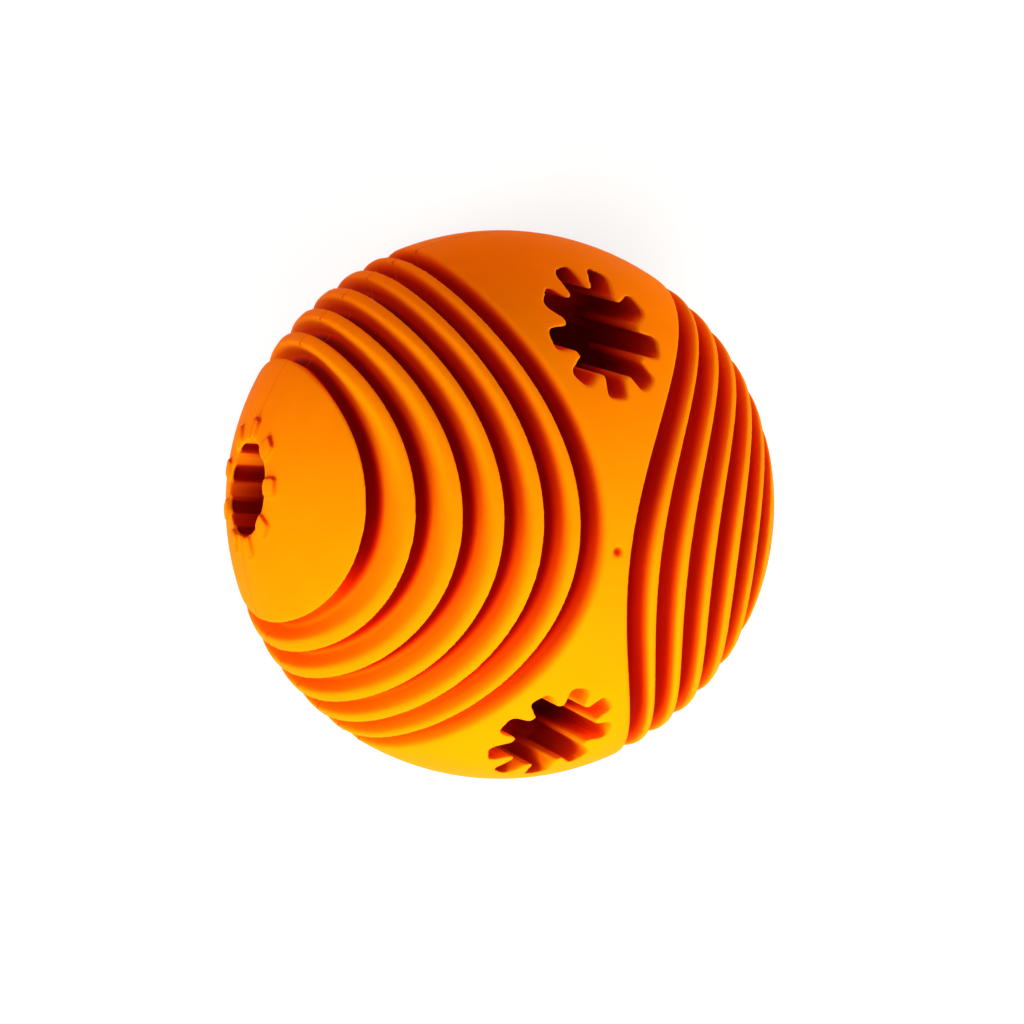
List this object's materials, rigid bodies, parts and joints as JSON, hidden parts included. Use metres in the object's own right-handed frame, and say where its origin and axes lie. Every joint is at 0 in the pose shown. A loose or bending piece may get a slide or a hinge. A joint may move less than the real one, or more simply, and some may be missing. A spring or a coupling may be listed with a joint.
{
  "type": "treat dispensing ball",
  "caption": "Hollow orange rubber dog ball with nested wavy grooves, toothed side ports and round pole ports ringed by pads, filled with kibble that drops out as it rolls",
  "frame": {"origin": "centre of the ball", "axes": "+X along the axis of the two pole ports, +Z square to the seam, the way the mould opens, +Y towards one pair of side ports"},
  "size_m": [0.0748, 0.075, 0.075],
  "materials": {
    "orange_rubber": "satin moulded natural rubber",
    "seam_cement": "cured rubber cement"
  },
  "bodies": {
    "root": {"upper_shell": "orange_rubber", "lower_shell": "orange_rubber", "front_seam_bond": "seam_cement", "rear_seam_bond": "seam_cement"}
  },
  "joints": []
}
